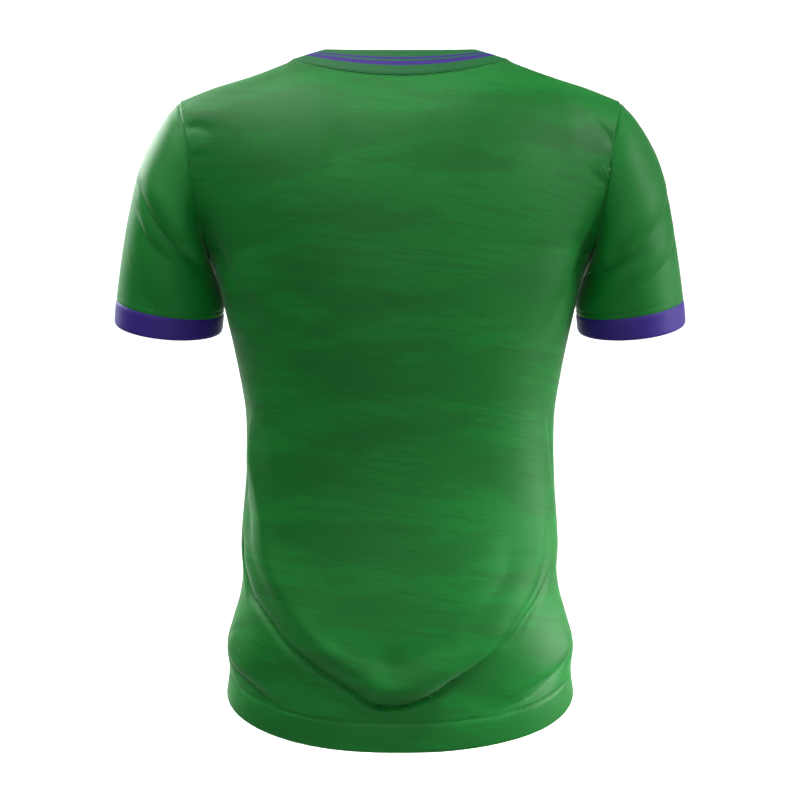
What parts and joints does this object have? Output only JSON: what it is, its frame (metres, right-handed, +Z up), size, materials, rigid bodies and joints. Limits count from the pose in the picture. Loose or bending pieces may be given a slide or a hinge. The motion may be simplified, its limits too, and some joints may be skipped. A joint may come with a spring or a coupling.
{
  "type": "football jersey",
  "caption": "Short-sleeved knit football jersey filled out as worn with nobody in it: crew collar in striped rib, set-in sleeves with banded cuffs, curved hem longer at the back.",
  "frame": {"origin": "the worn mount: on the centre plane, level with the points where the shoulder seams meet the collar", "axes": "+Z up the wearer's back, +X towards the wearer's left, -Y is the front, which faces away in the picture"},
  "size_m": [0.5844, 0.2298, 0.6823],
  "materials": {
    "green_knit": "smooth polyester interlock knit with a faint sheen",
    "purple_knit": "smooth polyester interlock knit with a faint sheen",
    "green_rib": "rib knit with two purple stripes"
  },
  "bodies": {
    "root": {"back_panel": "green_knit", "front_panel": "green_knit", "sleeve_left": "green_knit", "sleeve_right": "green_knit", "cuff_left": "purple_knit", "cuff_right": "purple_knit", "collar_rib": "green_rib"}
  },
  "joints": []
}
